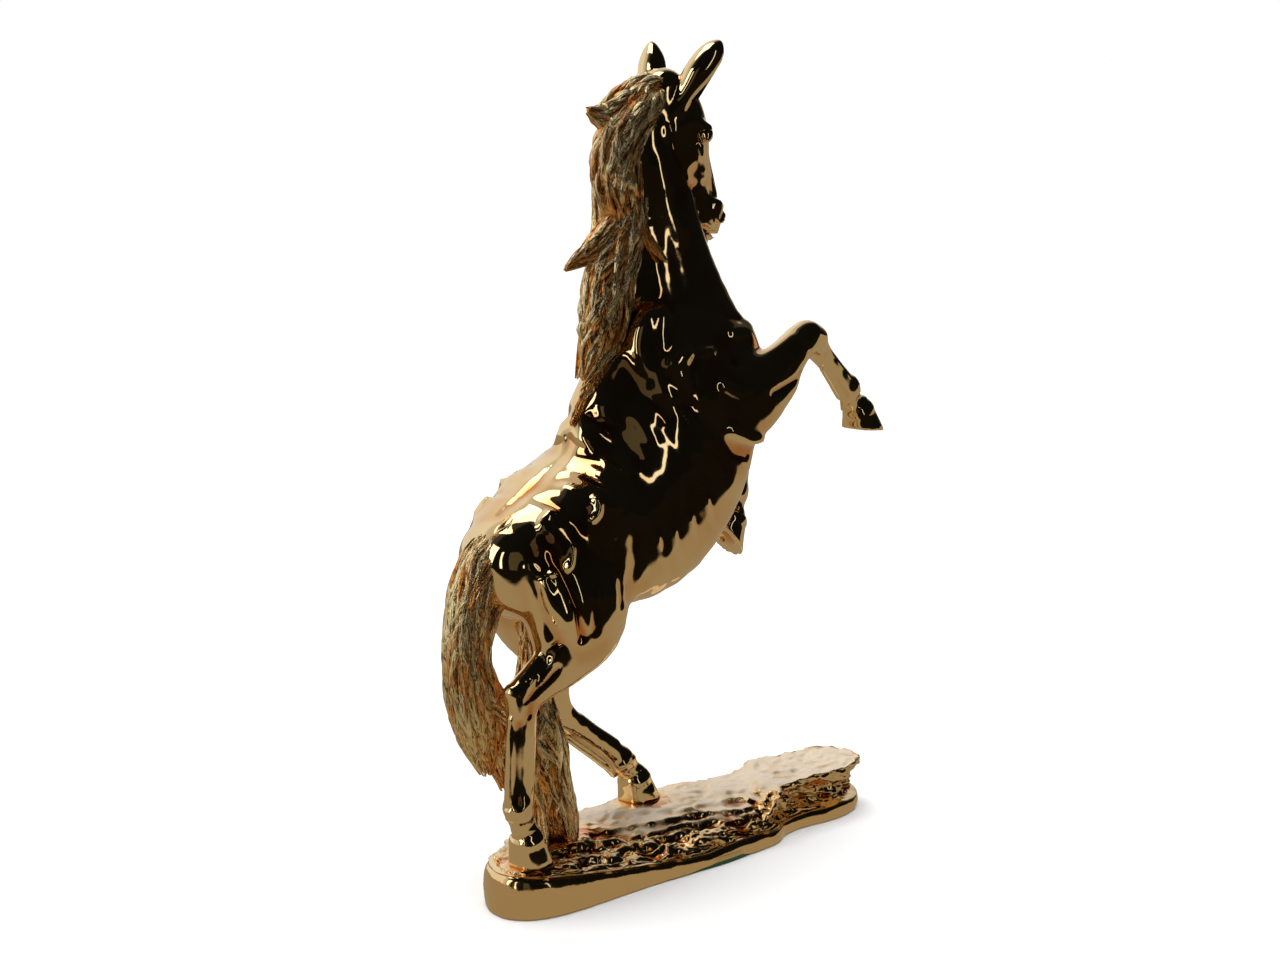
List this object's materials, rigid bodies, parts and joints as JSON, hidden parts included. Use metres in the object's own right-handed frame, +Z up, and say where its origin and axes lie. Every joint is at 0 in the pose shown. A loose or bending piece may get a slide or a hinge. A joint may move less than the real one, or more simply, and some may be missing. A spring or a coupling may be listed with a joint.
{
  "type": "rearing horse statue",
  "caption": "Rearing horse in polished cast bronze on its hind hooves and tail, on a narrow rock base with a felt underside.",
  "frame": {"origin": "middle of the whole object's footprint, on the surface it stands on", "axes": "+X the way the horse faces, +Y the horse's left, +Z up"},
  "size_m": [0.249, 0.0754, 0.3548],
  "materials": {
    "mirror_bronze": "mirror-polished gold-bronze plating over cast bronze",
    "chased_bronze": "bright gold-bronze with fine chased strand grooves",
    "rock_bronze": "bright gold-bronze, cast rock texture on top, smooth rim",
    "plate_brass": "rolled sheet, fine linear grain",
    "pin_bronze": "drawn rod, dull",
    "zinc_steel": "zinc-plated steel fasteners",
    "green_felt": "dense wool felt, glued"
  },
  "bodies": {
    "root": {"torso_casting": "mirror_bronze", "neck_casting": "mirror_bronze", "head_casting": "mirror_bronze", "right_foreleg": "mirror_bronze", "left_foreleg": "mirror_bronze", "right_hind_leg": "mirror_bronze", "left_hind_leg": "mirror_bronze", "mane_casting": "chased_bronze", "tail_casting": "chased_bronze", "rock_base": "rock_bronze", "bottom_plate": "plate_brass", "neck_pins": "pin_bronze", "head_pin": "pin_bronze", "mane_pins": "pin_bronze", "tail_pin": "pin_bronze", "hind_leg_pins": "pin_bronze", "foreleg_pins": "pin_bronze", "hind_hoof_studs": "zinc_steel", "tail_stud": "zinc_steel", "stud_washers": "zinc_steel", "stud_nuts": "zinc_steel", "plate_screws": "zinc_steel", "felt_sheet": "green_felt"}
  },
  "joints": []
}
